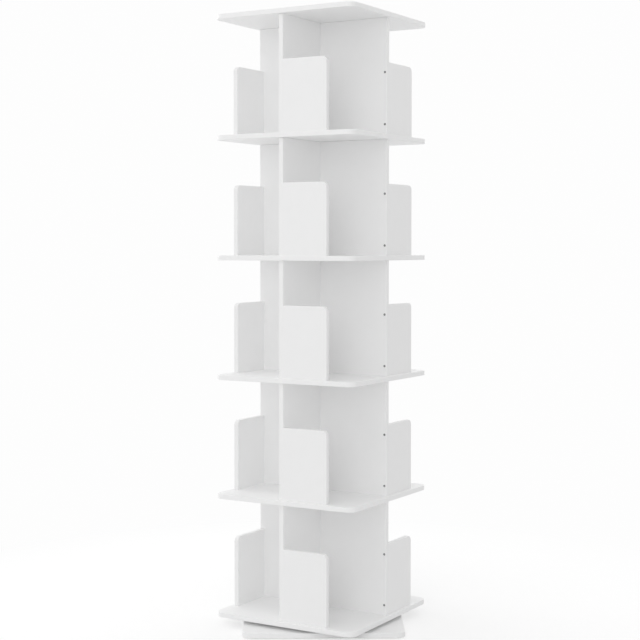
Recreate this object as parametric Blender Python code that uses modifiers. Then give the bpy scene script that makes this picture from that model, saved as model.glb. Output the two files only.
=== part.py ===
"""Revolving bookcase: square shelves with a pinwheel of boards between each two.

Units are metres, with +Z up. The origin is on the floor, on the axis that the case turns about.
The case stands square to X and Y, and the base board is turned under it.
"""

from math import cos, pi, radians, sin

import bmesh
import bpy
from mathutils import Matrix, Vector

# Case boards
TIERS = 5
TIER_PITCH = 0.300
SHELF_SIDE = 0.400
SHELF_THICKNESS = 0.012
SHELF_CORNER_RADIUS = 0.025
UPRIGHT_THICKNESS = 0.012
EDGE_INSET = 0.009
GUARD_THICKNESS = 0.012
GUARD_LENGTH = 0.123
GUARD_HEIGHT = 0.178
GUARD_CORNER_RADIUS = 0.013

# Base board and the pads under it
BASE_SIDE = 0.400
BASE_THICKNESS = 0.012
BASE_CORNER_RADIUS = 0.025
BASE_TURN = radians(31.3)
FOOT_RADIUS = 0.0125
FOOT_HEIGHT = 0.002
FOOT_SETBACK = 0.040

# Ring bearing between the base board and the bottom shelf
BEARING_HEIGHT = 0.008
BALL_CIRCLE_RADIUS = 0.061
BALL_RADIUS = 0.002
BALL_COUNT = 12
RING_WIDTH = 0.013
RING_FLOAT = 0.0004
RING_SCREWS = 3
CAGE_THICKNESS = 0.001
CAGE_HEIGHT = 0.006
RUNNING_GAP = 0.00045
ACCESS_HOLE_RADIUS = 0.0065

# Screws and dowels
SCREW_HEAD_RADIUS = 0.003
SCREW_SHANK_RADIUS = 0.00175
SCREW_TIP = 0.003
GUARD_SCREW_SETBACK = 0.025
GUARD_SCREW_GRIP = 0.023
SHELF_SCREW_GRIP = 0.028
RING_SCREW_GRIP = 0.007
DOWEL_RADIUS = 0.003
DOWEL_GRIP = 0.016
FIXING_SETBACK = 0.045

# Clearance between pieces that touch, and how far a cutter stands out of what it cuts
FIT_GAP = 0.0003
OVERCUT = 0.001

# Facets of round shapes
CORNER_SEGMENTS = 8
RING_SIDES = 48
HOLE_SIDES = 16
SCREW_SIDES = 12
DOWEL_SIDES = 8
BALL_SIDES = 8
BALL_RINGS = 4
SMOOTH_ANGLE = radians(35)

# Places worked out from the sizes above
QUARTER_NAMES = ("right", "back", "left", "front")
POINT_UP = Matrix.Rotation(pi, 4, "X")
POINT_DOWN = Matrix.Identity(4)
POINT_TO_Y = Matrix.Rotation(pi / 2, 4, "X")

UPRIGHT_REACH = SHELF_SIDE / 2 - EDGE_INSET
UPRIGHT_HEIGHT = TIER_PITCH - SHELF_THICKNESS - 2 * FIT_GAP
FIXING_REACHES = (FIXING_SETBACK, UPRIGHT_REACH - FIXING_SETBACK)

BASE_BOTTOM = FOOT_HEIGHT + FIT_GAP
BASE_TOP = BASE_BOTTOM + BASE_THICKNESS
CASE_BOTTOM = BASE_TOP + BEARING_HEIGHT
BALL_HEIGHT = BASE_TOP + BEARING_HEIGHT / 2

RING_HEIGHT = BEARING_HEIGHT - 2 * FIT_GAP - RING_FLOAT
RACE_HALF_WIDTH = CAGE_THICKNESS / 2 + RUNNING_GAP
RACE_RADIUS = BALL_RADIUS + RUNNING_GAP
OUTER_RING_BOTTOM = BASE_TOP + FIT_GAP
INNER_RING_BOTTOM = CASE_BOTTOM - FIT_GAP - RING_HEIGHT
RING_SCREW_OFFSET = (RACE_RADIUS + RACE_HALF_WIDTH + RING_WIDTH) / 2
OUTER_SCREW_CIRCLE = BALL_CIRCLE_RADIUS + RING_SCREW_OFFSET
INNER_SCREW_CIRCLE = BALL_CIRCLE_RADIUS - RING_SCREW_OFFSET

GUARD_SCREW_LENGTH = UPRIGHT_THICKNESS + FIT_GAP + GUARD_SCREW_GRIP
SHELF_SCREW_LENGTH = SHELF_THICKNESS + FIT_GAP + SHELF_SCREW_GRIP
RING_SCREW_LENGTH = RING_HEIGHT + FIT_GAP + RING_SCREW_GRIP
DOWEL_LENGTH = SHELF_THICKNESS + 2 * (FIT_GAP + DOWEL_GRIP)


def shelf_bottom(level):
    """Return the height of a shelf's underside, with the bottom shelf as level 0."""
    return CASE_BOTTOM + level * TIER_PITCH


def tier_bottom(tier):
    """Return the height at which a tier's boards stand, with the lowest tier as tier 0."""
    return shelf_bottom(tier) + SHELF_THICKNESS + FIT_GAP


# Scene, materials and objects


def clear_scene():
    """Remove what the scene holds."""
    for old in list(bpy.data.objects):
        bpy.data.objects.remove(old, do_unlink=True)


def new_collection(name):
    """Return a new collection in the scene."""
    collection = bpy.data.collections.new(name)
    bpy.context.scene.collection.children.link(collection)
    return collection


def new_material(name, colour, roughness, metallic=0.0):
    """Return a plain shaded material."""
    material = bpy.data.materials.new(name)
    material.use_nodes = True
    shader = material.node_tree.nodes["Principled BSDF"]
    shader.inputs["Base Color"].default_value = (*colour, 1.0)
    shader.inputs["Roughness"].default_value = roughness
    shader.inputs["Metallic"].default_value = metallic
    return material


def new_materials():
    """Return the bookcase's materials by name."""
    return {
        "laminate": new_material("white_laminate", (0.86, 0.86, 0.86), 0.5),
        "steel": new_material("zinc_steel", (0.55, 0.55, 0.56), 0.35, 1.0),
        "beech": new_material("beech_dowel", (0.63, 0.44, 0.27), 0.7),
        "aluminium": new_material("aluminium", (0.75, 0.76, 0.78), 0.35, 1.0),
        "nylon": new_material("nylon", (0.80, 0.79, 0.74), 0.5),
        "ball_steel": new_material("ball_steel", (0.62, 0.63, 0.65), 0.15, 1.0),
        "felt": new_material("felt", (0.40, 0.40, 0.41), 0.95),
    }


def new_axis(name, collection, turn=0.0):
    """Return an empty on the axis that the case turns about."""
    axis = bpy.data.objects.new(name, None)
    axis.rotation_euler.z = turn
    collection.objects.link(axis)
    return axis


def place(name, mesh, axis, height=0.0, turn=0.0):
    """Add one part to an axis's collection, at a height and turned about the axis."""
    part = bpy.data.objects.new(name, mesh)
    axis.users_collection[0].objects.link(part)
    part.parent = axis
    part.location.z = height
    part.rotation_euler.z = turn
    return part


# Shapes


def box(low, high):
    """Return a box between two corners."""
    shape = bmesh.new()
    bmesh.ops.create_cube(shape, size=1.0)
    bmesh.ops.scale(shape, vec=Vector(high) - Vector(low), verts=shape.verts)
    bmesh.ops.translate(shape, vec=(Vector(low) + Vector(high)) / 2, verts=shape.verts)
    return shape


def round_edges(shape, edges, radius):
    """Round some edges of a shape."""
    bmesh.ops.bevel(
        shape,
        geom=edges,
        offset=radius,
        offset_type="OFFSET",
        segments=CORNER_SEGMENTS,
        profile=0.5,
        affect="EDGES",
        clamp_overlap=True,
    )


def shaded(mesh, material=None):
    """Return a mesh shaded smooth where its faces meet at small angles, with its material."""
    mesh.shade_smooth()
    mesh.set_sharp_from_angle(angle=SMOOTH_ANGLE)
    if material:
        mesh.materials.append(material)
    return mesh


def as_mesh(name, shape, material=None):
    """Return a shape as a mesh."""
    mesh = bpy.data.meshes.new(name)
    shape.to_mesh(mesh)
    shape.free()
    return shaded(mesh, material)


def evaluated_mesh(blank):
    """Return a blank's mesh with its modifiers applied, and remove the blank."""
    depsgraph = bpy.context.evaluated_depsgraph_get()
    mesh = bpy.data.meshes.new_from_object(blank.evaluated_get(depsgraph))
    mesh.name = blank.name
    bpy.data.objects.remove(blank, do_unlink=True)
    return mesh


def turned(name, profile, sides, material=None, closed=False):
    """Return a profile of radii and heights, turned about Z."""
    count = len(profile)
    last_edge = [(count - 1, 0)] if closed else []
    edges = [(index, index + 1) for index in range(count - 1)] + last_edge
    line = bpy.data.meshes.new(name)
    line.from_pydata([(radius, 0.0, height) for radius, height in profile], edges, [])
    blank = bpy.data.objects.new(name, line)
    bpy.context.scene.collection.objects.link(blank)
    screw = blank.modifiers.new("turn", "SCREW")
    screw.steps = sides
    screw.render_steps = sides
    screw.use_merge_vertices = True
    screw.merge_threshold = 0.00001
    return shaded(evaluated_mesh(blank), material)


def grouped(name, copies, material=None):
    """Return one mesh of separate solids, from pairs of a mesh and its place."""
    group = bmesh.new()
    for mesh, matrix in copies:
        known = len(group.verts)
        group.from_mesh(mesh)
        group.verts.ensure_lookup_table()
        bmesh.ops.transform(group, matrix=matrix, verts=group.verts[known:])
    return as_mesh(name, group, material)


def combined(mesh, operation, copies, cutters, material=None):
    """Return a mesh with a Boolean of some solids, each a mesh and its place."""
    name = f"{mesh.name}_{operation.lower()}"
    tool = bpy.data.objects.new(name, grouped(name, copies, material))
    tool.hide_render = True
    tool.display_type = "WIRE"
    cutters.objects.link(tool)
    blank = bpy.data.objects.new(mesh.name, mesh)
    cutters.objects.link(blank)
    boolean = blank.modifiers.new(operation.lower(), "BOOLEAN")
    boolean.operation = operation
    boolean.solver = "EXACT"
    boolean.material_mode = "TRANSFER"
    boolean.object = tool
    return shaded(evaluated_mesh(blank))


def rounded_board(name, side, thickness, radius, material):
    """Return a square board with round corners, centred on the axis, with its underside at zero."""
    shape = box((-side / 2, -side / 2, 0.0), (side / 2, side / 2, thickness))
    upright_edges = [edge for edge in shape.edges if edge.verts[0].co.z != edge.verts[1].co.z]
    round_edges(shape, upright_edges, radius)
    return as_mesh(name, shape, material)


def moved(x, y, z, pointing):
    """Return the place of a fastener whose head, or middle, lies at a point."""
    return Matrix.Translation((x, y, z)) @ pointing


def around(matrix, count=len(QUARTER_NAMES)):
    """Return a place and its copies, spaced evenly about the axis."""
    return [Matrix.Rotation(2 * pi * step / count, 4, "Z") @ matrix for step in range(count)]


# Screws, dowels and the holes that they fit


def screw_mesh(name, length, material):
    """Return a countersunk screw that points down, with the top of its head at zero."""
    head_depth = SCREW_HEAD_RADIUS - SCREW_SHANK_RADIUS
    profile = [
        (0.0, 0.0),
        (SCREW_HEAD_RADIUS, 0.0),
        (SCREW_SHANK_RADIUS, -head_depth),
        (SCREW_SHANK_RADIUS, SCREW_TIP - length),
        (0.0, -length),
    ]
    return turned(name, profile, SCREW_SIDES, material)


def screw_hole_mesh(name, length):
    """Return the hole that a countersunk screw fits."""
    head = SCREW_HEAD_RADIUS + FIT_GAP
    shank = SCREW_SHANK_RADIUS + FIT_GAP
    profile = [
        (0.0, OVERCUT),
        (head, OVERCUT),
        (head, 0.0),
        (shank, shank - head),
        (shank, -length - FIT_GAP),
        (0.0, -length - FIT_GAP),
    ]
    return turned(name, profile, SCREW_SIDES)


def dowel_mesh(name, gap=0.0):
    """Return a dowel centred on zero, grown by a gap for its hole."""
    half = DOWEL_LENGTH / 2 + gap
    radius = DOWEL_RADIUS + gap
    return turned(name, [(0.0, half), (radius, half), (radius, -half), (0.0, -half)], DOWEL_SIDES)


def guard_screw_places():
    """Return the places of a guard's two screws, on the outer face of the upright to the right."""
    x = UPRIGHT_REACH - GUARD_THICKNESS / 2
    heights = (GUARD_SCREW_SETBACK, GUARD_HEIGHT - GUARD_SCREW_SETBACK)
    return [moved(x, -UPRIGHT_THICKNESS, height, POINT_TO_Y) for height in heights]


def fixing_places(height, pointing):
    """Return the places of the two fixings in an end of the upright to the right."""
    return [moved(reach, -UPRIGHT_THICKNESS / 2, height, pointing) for reach in FIXING_REACHES]


def fixing_places_around(height, pointing):
    """Return the places of the eight fixings in a shelf."""
    return [matrix for fixing in fixing_places(height, pointing) for matrix in around(fixing)]


def pairs(mesh, places):
    """Return a mesh paired with each of its places."""
    return [(mesh, matrix) for matrix in places]


# Case


def upright_mesh(tier, materials, cutters):
    """Return the upright to the right in a tier, standing at zero.

    It takes in its own fixings: dowels glued into its top end, or the screws driven into an end.
    """
    name = f"tier_{tier + 1}_upright"
    is_lowest = tier == 0
    is_highest = tier == TIERS - 1
    low_head = -FIT_GAP - SHELF_THICKNESS
    high_head = UPRIGHT_HEIGHT + FIT_GAP + SHELF_THICKNESS
    blank = box((FIT_GAP, -UPRIGHT_THICKNESS, 0.0), (UPRIGHT_REACH, 0.0, UPRIGHT_HEIGHT))
    board = as_mesh(name, blank, materials["laminate"])

    bores = pairs(screw_hole_mesh("guard_screw_hole", GUARD_SCREW_LENGTH), guard_screw_places())
    if not is_lowest:
        middle = low_head + SHELF_THICKNESS / 2
        bores += pairs(dowel_mesh("dowel_hole", FIT_GAP), fixing_places(middle, POINT_DOWN))
    board = combined(board, "DIFFERENCE", bores, cutters)

    shelf_screw = screw_mesh("shelf_screw", SHELF_SCREW_LENGTH, materials["steel"])
    if is_lowest:
        screws = pairs(shelf_screw, fixing_places(low_head, POINT_UP))
        board = combined(board, "UNION", screws, cutters, materials["steel"])
    if is_highest:
        screws = pairs(shelf_screw, fixing_places(high_head, POINT_DOWN))
        return combined(board, "UNION", screws, cutters, materials["steel"])
    middle = high_head - SHELF_THICKNESS / 2
    dowels = pairs(dowel_mesh("dowel"), fixing_places(middle, POINT_DOWN))
    return combined(board, "UNION", dowels, cutters, materials["beech"])


def guard_mesh(materials, cutters):
    """Return the guard beside the upright to the right, standing at zero, with its two screws."""
    low = (UPRIGHT_REACH - GUARD_THICKNESS, FIT_GAP, 0.0)
    high = (UPRIGHT_REACH, GUARD_LENGTH, GUARD_HEIGHT)
    shape = box(low, high)
    outer_end = max(vertex.co.y for vertex in shape.verts)
    top = max(vertex.co.z for vertex in shape.verts)
    corner = [
        edge
        for edge in shape.edges
        if all(vertex.co.y == outer_end and vertex.co.z == top for vertex in edge.verts)
    ]
    round_edges(shape, corner, GUARD_CORNER_RADIUS)
    board = as_mesh("guard", shape, materials["laminate"])
    screw = screw_mesh("guard_screw", GUARD_SCREW_LENGTH, materials["steel"])
    screws = pairs(screw, guard_screw_places())
    return combined(board, "UNION", screws, cutters, materials["steel"])


def shelf_mesh(level, materials, cutters):
    """Return a shelf with its underside at zero, bored for what holds the uprights to it."""
    blank = rounded_board(
        f"shelf_{level + 1}", SHELF_SIDE, SHELF_THICKNESS, SHELF_CORNER_RADIUS, materials["laminate"]
    )
    screw_hole = screw_hole_mesh("shelf_screw_hole", SHELF_SCREW_LENGTH)
    if level == 0:
        ring_hole = screw_hole_mesh("ring_screw_hole", RING_SCREW_LENGTH)
        bores = pairs(screw_hole, fixing_places_around(0.0, POINT_UP))
        bores += pairs(ring_hole, inner_ring_screw_places(-CASE_BOTTOM))
    elif level == TIERS:
        bores = pairs(screw_hole, fixing_places_around(SHELF_THICKNESS, POINT_DOWN))
    else:
        dowel_hole = dowel_mesh("dowel_hole", FIT_GAP)
        bores = pairs(dowel_hole, fixing_places_around(SHELF_THICKNESS / 2, POINT_DOWN))
    return combined(blank, "DIFFERENCE", bores, cutters)


def shelf_name(level):
    """Return a shelf's name."""
    ends = {0: "bottom_shelf", TIERS: "top_shelf"}
    return ends.get(level, f"shelf_{level + 1}")


def build_shelves(axis, materials, cutters):
    """Add the shelves, of which the middle ones are alike."""
    middle = shelf_mesh(1, materials, cutters)
    for level in range(TIERS + 1):
        is_end = level in (0, TIERS)
        mesh = shelf_mesh(level, materials, cutters) if is_end else middle
        place(shelf_name(level), mesh, axis, shelf_bottom(level))


def build_tiers(axis, materials, cutters):
    """Add each tier's four uprights and their guards."""
    guard = guard_mesh(materials, cutters)
    middle = upright_mesh(1, materials, cutters)
    for tier in range(TIERS):
        is_end = tier in (0, TIERS - 1)
        upright = upright_mesh(tier, materials, cutters) if is_end else middle
        for index, quarter in enumerate(QUARTER_NAMES):
            turn = index * pi / 2
            place(f"tier_{tier + 1}_upright_{quarter}", upright, axis, tier_bottom(tier), turn)
            place(f"tier_{tier + 1}_guard_{quarter}", guard, axis, tier_bottom(tier), turn)


# Ring bearing


def ring_profile(side):
    """Return a ring's outline: side is 1 for the outer ring and -1 for the inner one."""
    middle = BALL_HEIGHT - (OUTER_RING_BOTTOM if side > 0 else INNER_RING_BOTTOM)
    half_facet = RACE_RADIUS * sin(pi / 8) / cos(pi / 8)
    offsets = [
        (RACE_HALF_WIDTH, 0.0),
        (RACE_HALF_WIDTH, middle - RACE_RADIUS),
        (half_facet, middle - RACE_RADIUS),
        (RACE_RADIUS, middle - half_facet),
        (RACE_RADIUS, middle + half_facet),
        (half_facet, middle + RACE_RADIUS),
        (RACE_HALF_WIDTH, middle + RACE_RADIUS),
        (RACE_HALF_WIDTH, RING_HEIGHT),
        (RACE_HALF_WIDTH + RING_WIDTH, RING_HEIGHT),
        (RACE_HALF_WIDTH + RING_WIDTH, 0.0),
    ]
    profile = [(BALL_CIRCLE_RADIUS + side * offset, height) for offset, height in offsets]
    return profile if side > 0 else profile[::-1]


def outer_ring_screw_places(lift=0.0):
    """Return the places of the outer ring's screws, which point down into the base board."""
    head = OUTER_RING_BOTTOM + RING_HEIGHT + lift
    return around(moved(OUTER_SCREW_CIRCLE, 0.0, head, POINT_DOWN), RING_SCREWS)


def inner_ring_screw_places(lift=0.0):
    """Return the places of the inner ring's screws, which point up into the bottom shelf."""
    quarter_way = INNER_SCREW_CIRCLE * cos(pi / 4)
    head = INNER_RING_BOTTOM + lift
    return around(moved(quarter_way, quarter_way, head, POINT_UP), RING_SCREWS)


def cage_mesh(materials, cutters):
    """Return the band that keeps the balls apart, with the balls in it, centred on zero."""
    inner = BALL_CIRCLE_RADIUS - CAGE_THICKNESS / 2
    outer = BALL_CIRCLE_RADIUS + CAGE_THICKNESS / 2
    half = CAGE_HEIGHT / 2
    profile = [(outer, half), (outer, -half), (inner, -half), (inner, half)]
    band = turned("ball_cage", profile, RING_SIDES, materials["nylon"], closed=True)
    shape = bmesh.new()
    bmesh.ops.create_uvsphere(shape, u_segments=BALL_SIDES, v_segments=BALL_RINGS, radius=BALL_RADIUS)
    ball = as_mesh("ball", shape)
    balls = pairs(ball, around(moved(BALL_CIRCLE_RADIUS, 0.0, 0.0, POINT_DOWN), BALL_COUNT))
    return combined(band, "UNION", balls, cutters, materials["ball_steel"])


def build_bearing(base_axis, case_axis, cage_axis, materials, cutters):
    """Add the ring bearing: two rings, the ball cage between them and the rings' screws."""
    hole = screw_hole_mesh("ring_screw_hole", RING_SCREW_LENGTH)
    screw = screw_mesh("ring_screw", RING_SCREW_LENGTH, materials["steel"])

    outer = turned("outer_ring", ring_profile(1), RING_SIDES, materials["aluminium"], closed=True)
    bores = pairs(hole, outer_ring_screw_places(-OUTER_RING_BOTTOM))
    outer = combined(outer, "DIFFERENCE", bores, cutters)
    place("turntable_outer_ring", outer, base_axis, OUTER_RING_BOTTOM)
    for index, matrix in enumerate(outer_ring_screw_places()):
        place(f"outer_ring_screw_{index + 1}", screw, base_axis).matrix_local = matrix

    inner = turned("inner_ring", ring_profile(-1), RING_SIDES, materials["aluminium"], closed=True)
    bores = pairs(hole, inner_ring_screw_places(-INNER_RING_BOTTOM))
    inner = combined(inner, "DIFFERENCE", bores, cutters)
    place("turntable_inner_ring", inner, case_axis, INNER_RING_BOTTOM)
    for index, matrix in enumerate(inner_ring_screw_places()):
        place(f"inner_ring_screw_{index + 1}", screw, case_axis).matrix_local = matrix

    place("turntable_ball_cage", cage_mesh(materials, cutters), cage_axis, BALL_HEIGHT)


# Base


def base_mesh(materials, cutters):
    """Return the base board, bored for the outer ring's screws and for reaching the inner ones."""
    blank = rounded_board("base", BASE_SIDE, BASE_THICKNESS, BASE_CORNER_RADIUS, materials["laminate"])
    ring_hole = screw_hole_mesh("ring_screw_hole", RING_SCREW_LENGTH)
    bores = pairs(ring_hole, outer_ring_screw_places(-BASE_BOTTOM))
    high = BASE_THICKNESS + OVERCUT
    radius = ACCESS_HOLE_RADIUS
    profile = [(0.0, high), (radius, high), (radius, -OVERCUT), (0.0, -OVERCUT)]
    access = turned("access_hole", profile, HOLE_SIDES)
    bores.append((access, Matrix.Translation((0.0, INNER_SCREW_CIRCLE, 0.0))))
    return combined(blank, "DIFFERENCE", bores, cutters)


def build_base(axis, materials, cutters):
    """Add the base board and its foot pads."""
    place("base_board", base_mesh(materials, cutters), axis, BASE_BOTTOM)
    reach = BASE_SIDE / 2 - FOOT_SETBACK
    profile = [(0.0, FOOT_HEIGHT), (FOOT_RADIUS, FOOT_HEIGHT), (FOOT_RADIUS, 0.0), (0.0, 0.0)]
    pad = turned("foot_pad", profile, HOLE_SIDES, materials["felt"])
    for index, matrix in enumerate(around(Matrix.Translation((reach, reach, 0.0)))):
        place(f"foot_pad_{index + 1}", pad, axis).matrix_local = matrix


def main():
    """Build the bookcase."""
    clear_scene()
    parts = new_collection("revolving_bookcase")
    cutters = new_collection("cutters")
    materials = new_materials()
    base_axis = new_axis("base_axis", parts, BASE_TURN)
    case_axis = new_axis("case_axis", parts)
    cage_axis = new_axis("cage_axis", parts)
    build_base(base_axis, materials, cutters)
    build_bearing(base_axis, case_axis, cage_axis, materials, cutters)
    build_shelves(case_axis, materials, cutters)
    build_tiers(case_axis, materials, cutters)


main()
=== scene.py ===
"""Dresses the revolving bookcase: laminated boards, screws and a ring turntable in soft studio light."""

import logging
import math
from abc import ABC, abstractmethod
from collections.abc import Callable, Iterable, Sequence
from dataclasses import dataclass
from enum import Enum
from typing import Any

import bmesh
import bpy
from mathutils import Matrix, Vector, noise


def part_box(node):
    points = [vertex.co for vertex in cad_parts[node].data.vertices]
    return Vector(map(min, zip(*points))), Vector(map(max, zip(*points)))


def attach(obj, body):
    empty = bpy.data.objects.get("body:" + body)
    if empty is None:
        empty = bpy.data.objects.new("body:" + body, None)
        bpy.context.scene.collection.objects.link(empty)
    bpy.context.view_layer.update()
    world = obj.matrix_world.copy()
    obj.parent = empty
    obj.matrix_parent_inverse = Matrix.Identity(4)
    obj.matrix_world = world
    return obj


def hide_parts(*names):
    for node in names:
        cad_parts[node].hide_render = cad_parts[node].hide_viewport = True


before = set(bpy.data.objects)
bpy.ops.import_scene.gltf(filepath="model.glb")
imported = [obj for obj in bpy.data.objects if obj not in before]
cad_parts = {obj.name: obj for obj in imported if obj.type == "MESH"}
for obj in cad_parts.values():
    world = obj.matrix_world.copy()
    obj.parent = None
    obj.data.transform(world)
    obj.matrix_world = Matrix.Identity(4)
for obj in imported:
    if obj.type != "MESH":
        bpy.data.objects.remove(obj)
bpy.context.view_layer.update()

# Lengths are in metres and angles in radians
FULL_TURN = 2.0 * math.pi
HALF_TURN = math.pi
QUARTER_TURN = math.pi / 2.0
EIGHTH_TURN = math.pi / 4.0
SHARP_ANGLE = math.radians(40.0)
MERGE_DISTANCE = 0.00001

# The cosine above which a direction counts as lying along an axis
STRAIGHT = 0.99

TIER_COUNT = 5
PAD_COUNT = 4
RING_SCREW_COUNT = 3

log = logging.getLogger("revolving_bookcase")

Colour = tuple[float, float, float, float]
Span = tuple[float, float]
Profile = Sequence[tuple[float, float]]
Test = Callable[[Vector], bool]
Edge = bmesh.types.BMEdge
Face = bmesh.types.BMFace
Mesh = bpy.types.Mesh
Material = bpy.types.Material
Piece = bpy.types.Object


class Body(Enum):
    """The moving bodies that a piece can ride on."""

    BASE = "base"
    CASE = "case"
    BALL_CAGE = "ball_cage"


class Slot(Enum):
    """The record's material slots."""

    LAMINATE = "white_laminate"
    ZINC = "zinc_steel"
    ALUMINIUM = "aluminium"
    NYLON = "nylon"
    FELT = "felt"


class Side(Enum):
    """The four places round the axis, as quarter turns from the right-hand one."""

    RIGHT = 0
    BACK = 1
    LEFT = 2
    FRONT = 3

    def turn(self) -> Matrix:
        """Returns the turn about the axis that brings a right-hand board to this side."""
        return Matrix.Rotation(self.value * QUARTER_TURN, 4, "Z")


class Axis(Enum):
    """A direction of the row frame, with its place in a vector."""

    X = 0
    Y = 1
    Z = 2


class Layer(Enum):
    """The material slots of a board's mesh."""

    FACE = 0
    BAND = 1
    ARRIS = 2
    CORE = 3


@dataclass(frozen=True)
class Signal:
    """A shader socket that joins Python expressions, each of which adds its Math node."""

    sheet: "ShaderSheet"
    socket: bpy.types.NodeSocket | None

    def maths(self, operation: str, first: "Signal | float", second: "Signal | float") -> "Signal":
        """Adds a Math node on two values or signals."""
        return self.sheet.node("ShaderNodeMath", {"operation": operation}, {0: first, 1: second})

    def __add__(self, other: "Signal | float") -> "Signal":
        """Adds a value or signal."""
        return self.maths("ADD", self, other)

    __radd__ = __add__

    def __sub__(self, other: "Signal | float") -> "Signal":
        """Takes a value or signal away."""
        return self.maths("SUBTRACT", self, other)

    def __rsub__(self, other: "Signal | float") -> "Signal":
        """Takes this signal away from a value."""
        return self.maths("SUBTRACT", other, self)

    def __mul__(self, other: "Signal | float") -> "Signal":
        """Multiplies by a value or signal."""
        return self.maths("MULTIPLY", self, other)

    __rmul__ = __mul__

    def __or__(self, other: "Signal") -> "Signal":
        """Takes the larger of two signals, as an either-or of two masks."""
        return self.maths("MAXIMUM", self, other)


@dataclass(frozen=True)
class Pattern:
    """A cloudy noise: its repeats for each metre, and its number of finer octaves."""

    scale: float
    detail: float = 2.0


class ShaderSheet:
    """A node tree that is written as Python expressions."""

    MIX_FACTOR = 0
    MIX_FIRST = 6
    MIX_SECOND = 7
    MIX_RESULT = 2
    RANGE_ENDS = ("From Min", "From Max", "To Min", "To Max")

    def __init__(self, owner: Material | bpy.types.World) -> None:
        """Starts an empty tree on a material or a world.

        Args:
            owner: The data block whose nodes are written.
        """
        owner.use_nodes = True
        self.tree = owner.node_tree
        self.tree.nodes.clear()

    def node(self, kind: str, settings: dict[str, Any] | None = None,
             inputs: dict[str | int, Any] | None = None, result: str | int = 0) -> Signal:
        """Adds one node.

        Args:
            kind: The node's type.
            settings: The node's own settings, which are set first.
            inputs: Values or signals for its sockets, by name or number.
            result: The output socket to return, by name or number.

        Returns:
            The chosen output.
        """
        made = self.tree.nodes.new(kind)
        for name, value in (settings or {}).items():
            setattr(made, name, value)
        for name, value in (inputs or {}).items():
            if isinstance(value, Signal):
                self.tree.links.new(value.socket, made.inputs[name])
            else:
                made.inputs[name].default_value = value
        return Signal(self, made.outputs[result] if made.outputs else None)

    def place(self) -> Signal:
        """Returns the piece's Object coordinates."""
        return self.node("ShaderNodeTexCoord", result="Object")

    def stretched(self, scale: tuple[float, float, float]) -> Signal:
        """Returns Object coordinates, multiplied by a factor for each axis."""
        inputs = {"Vector": self.place(), "Scale": scale}
        return self.node("ShaderNodeMapping", {"vector_type": "POINT"}, inputs)

    def length(self, vector: Signal) -> Signal:
        """Returns the length of a vector."""
        return self.node("ShaderNodeVectorMath", {"operation": "LENGTH"}, {0: vector}, "Value")

    def cloud(self, pattern: Pattern, vector: Signal | None = None) -> Signal:
        """Returns a noise from 0 to 1, on the piece's own coordinates where no others are given."""
        inputs = {"Vector": vector or self.place(), "Scale": pattern.scale, "Detail": pattern.detail}
        return self.node("ShaderNodeTexNoise", None, inputs)

    def spread(self, value: Signal, source: Span, target: Span = (0.0, 1.0)) -> Signal:
        """Stretches one span of a signal's range over another, and clamps it there."""
        inputs = {"Value": value, **dict(zip(self.RANGE_ENDS, source + target))}
        return self.node("ShaderNodeMapRange", {"clamp": True}, inputs)

    def tint(self, factor: Signal, first: Signal | Colour, second: Signal | Colour) -> Signal:
        """Mixes two colours; the factor is the share of the second."""
        inputs = {self.MIX_FACTOR: factor, self.MIX_FIRST: first, self.MIX_SECOND: second}
        return self.node("ShaderNodeMix", {"data_type": "RGBA"}, inputs, self.MIX_RESULT)

    def relief(self, height: Signal, depth: float, strength: float) -> Signal:
        """Turns a height pattern of some depth into a surface normal."""
        inputs = {"Height": height, "Distance": depth, "Strength": strength}
        return self.node("ShaderNodeBump", None, inputs)

    def surface(self, **inputs: Any) -> None:
        """Ends the tree in a Principled surface.

        Args:
            inputs: Its sockets, with underscores for the spaces in their names.
        """
        sockets = {name.replace("_", " "): value for name, value in inputs.items()}
        shader = self.node("ShaderNodeBsdfPrincipled", None, sockets)
        self.node("ShaderNodeOutputMaterial", None, {"Surface": shader})


def grey(level: float) -> Colour:
    """Returns a neutral, opaque colour of a linear brightness."""
    return (level, level, level, 1.0)


@dataclass(frozen=True)
class Finish(ABC):
    """A surface finish, with the name of its material."""

    name: str

    @abstractmethod
    def write(self, sheet: ShaderSheet) -> None:
        """Writes the finish as shader nodes."""

    def build(self) -> Material:
        """Makes the finish.

        Returns:
            Its material.
        """
        material = bpy.data.materials.new(self.name)
        self.write(ShaderSheet(material))
        return material


@dataclass(frozen=True)
class LaminateFinish(Finish):
    """White melamine: a fine pearl from the press plate, faint mottling, and greyer where it is rubbed."""

    tone: float = 0.92
    mottle: float = 0.003
    patches: Pattern = Pattern(7.0, 3.0)
    wear: float = 0.04
    rubbed: float = 0.78
    rubbing: Pattern = Pattern(38.0, 4.0)
    rubbing_span: Span = (0.42, 0.68)
    roughness: float = 0.44
    unevenness: float = 0.03
    handling: Pattern = Pattern(21.0, 5.0)
    specks: Pattern = Pattern(230.0, 1.0)
    wear_dulling: float = 0.10
    pearl: Pattern = Pattern(850.0)
    pearl_depth: float = 0.00006
    pearl_strength: float = 0.5

    def write(self, sheet: ShaderSheet) -> None:
        """Writes the laminate as shader nodes.

        Args:
            sheet: The material's sheet.
        """
        patches = sheet.cloud(self.patches)
        clean = sheet.tint(patches, grey(self.tone - self.mottle), grey(self.tone + self.mottle))
        worn = self.wear * sheet.spread(sheet.cloud(self.rubbing), self.rubbing_span)
        smoothest = self.roughness - self.unevenness
        uneven = self.unevenness * (sheet.cloud(self.handling) + sheet.cloud(self.specks))
        sheet.surface(
            Base_Color=sheet.tint(worn, clean, grey(self.rubbed)),
            Roughness=smoothest + uneven + self.wear_dulling * worn,
            Normal=sheet.relief(sheet.cloud(self.pearl), self.pearl_depth, self.pearl_strength),
        )


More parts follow.
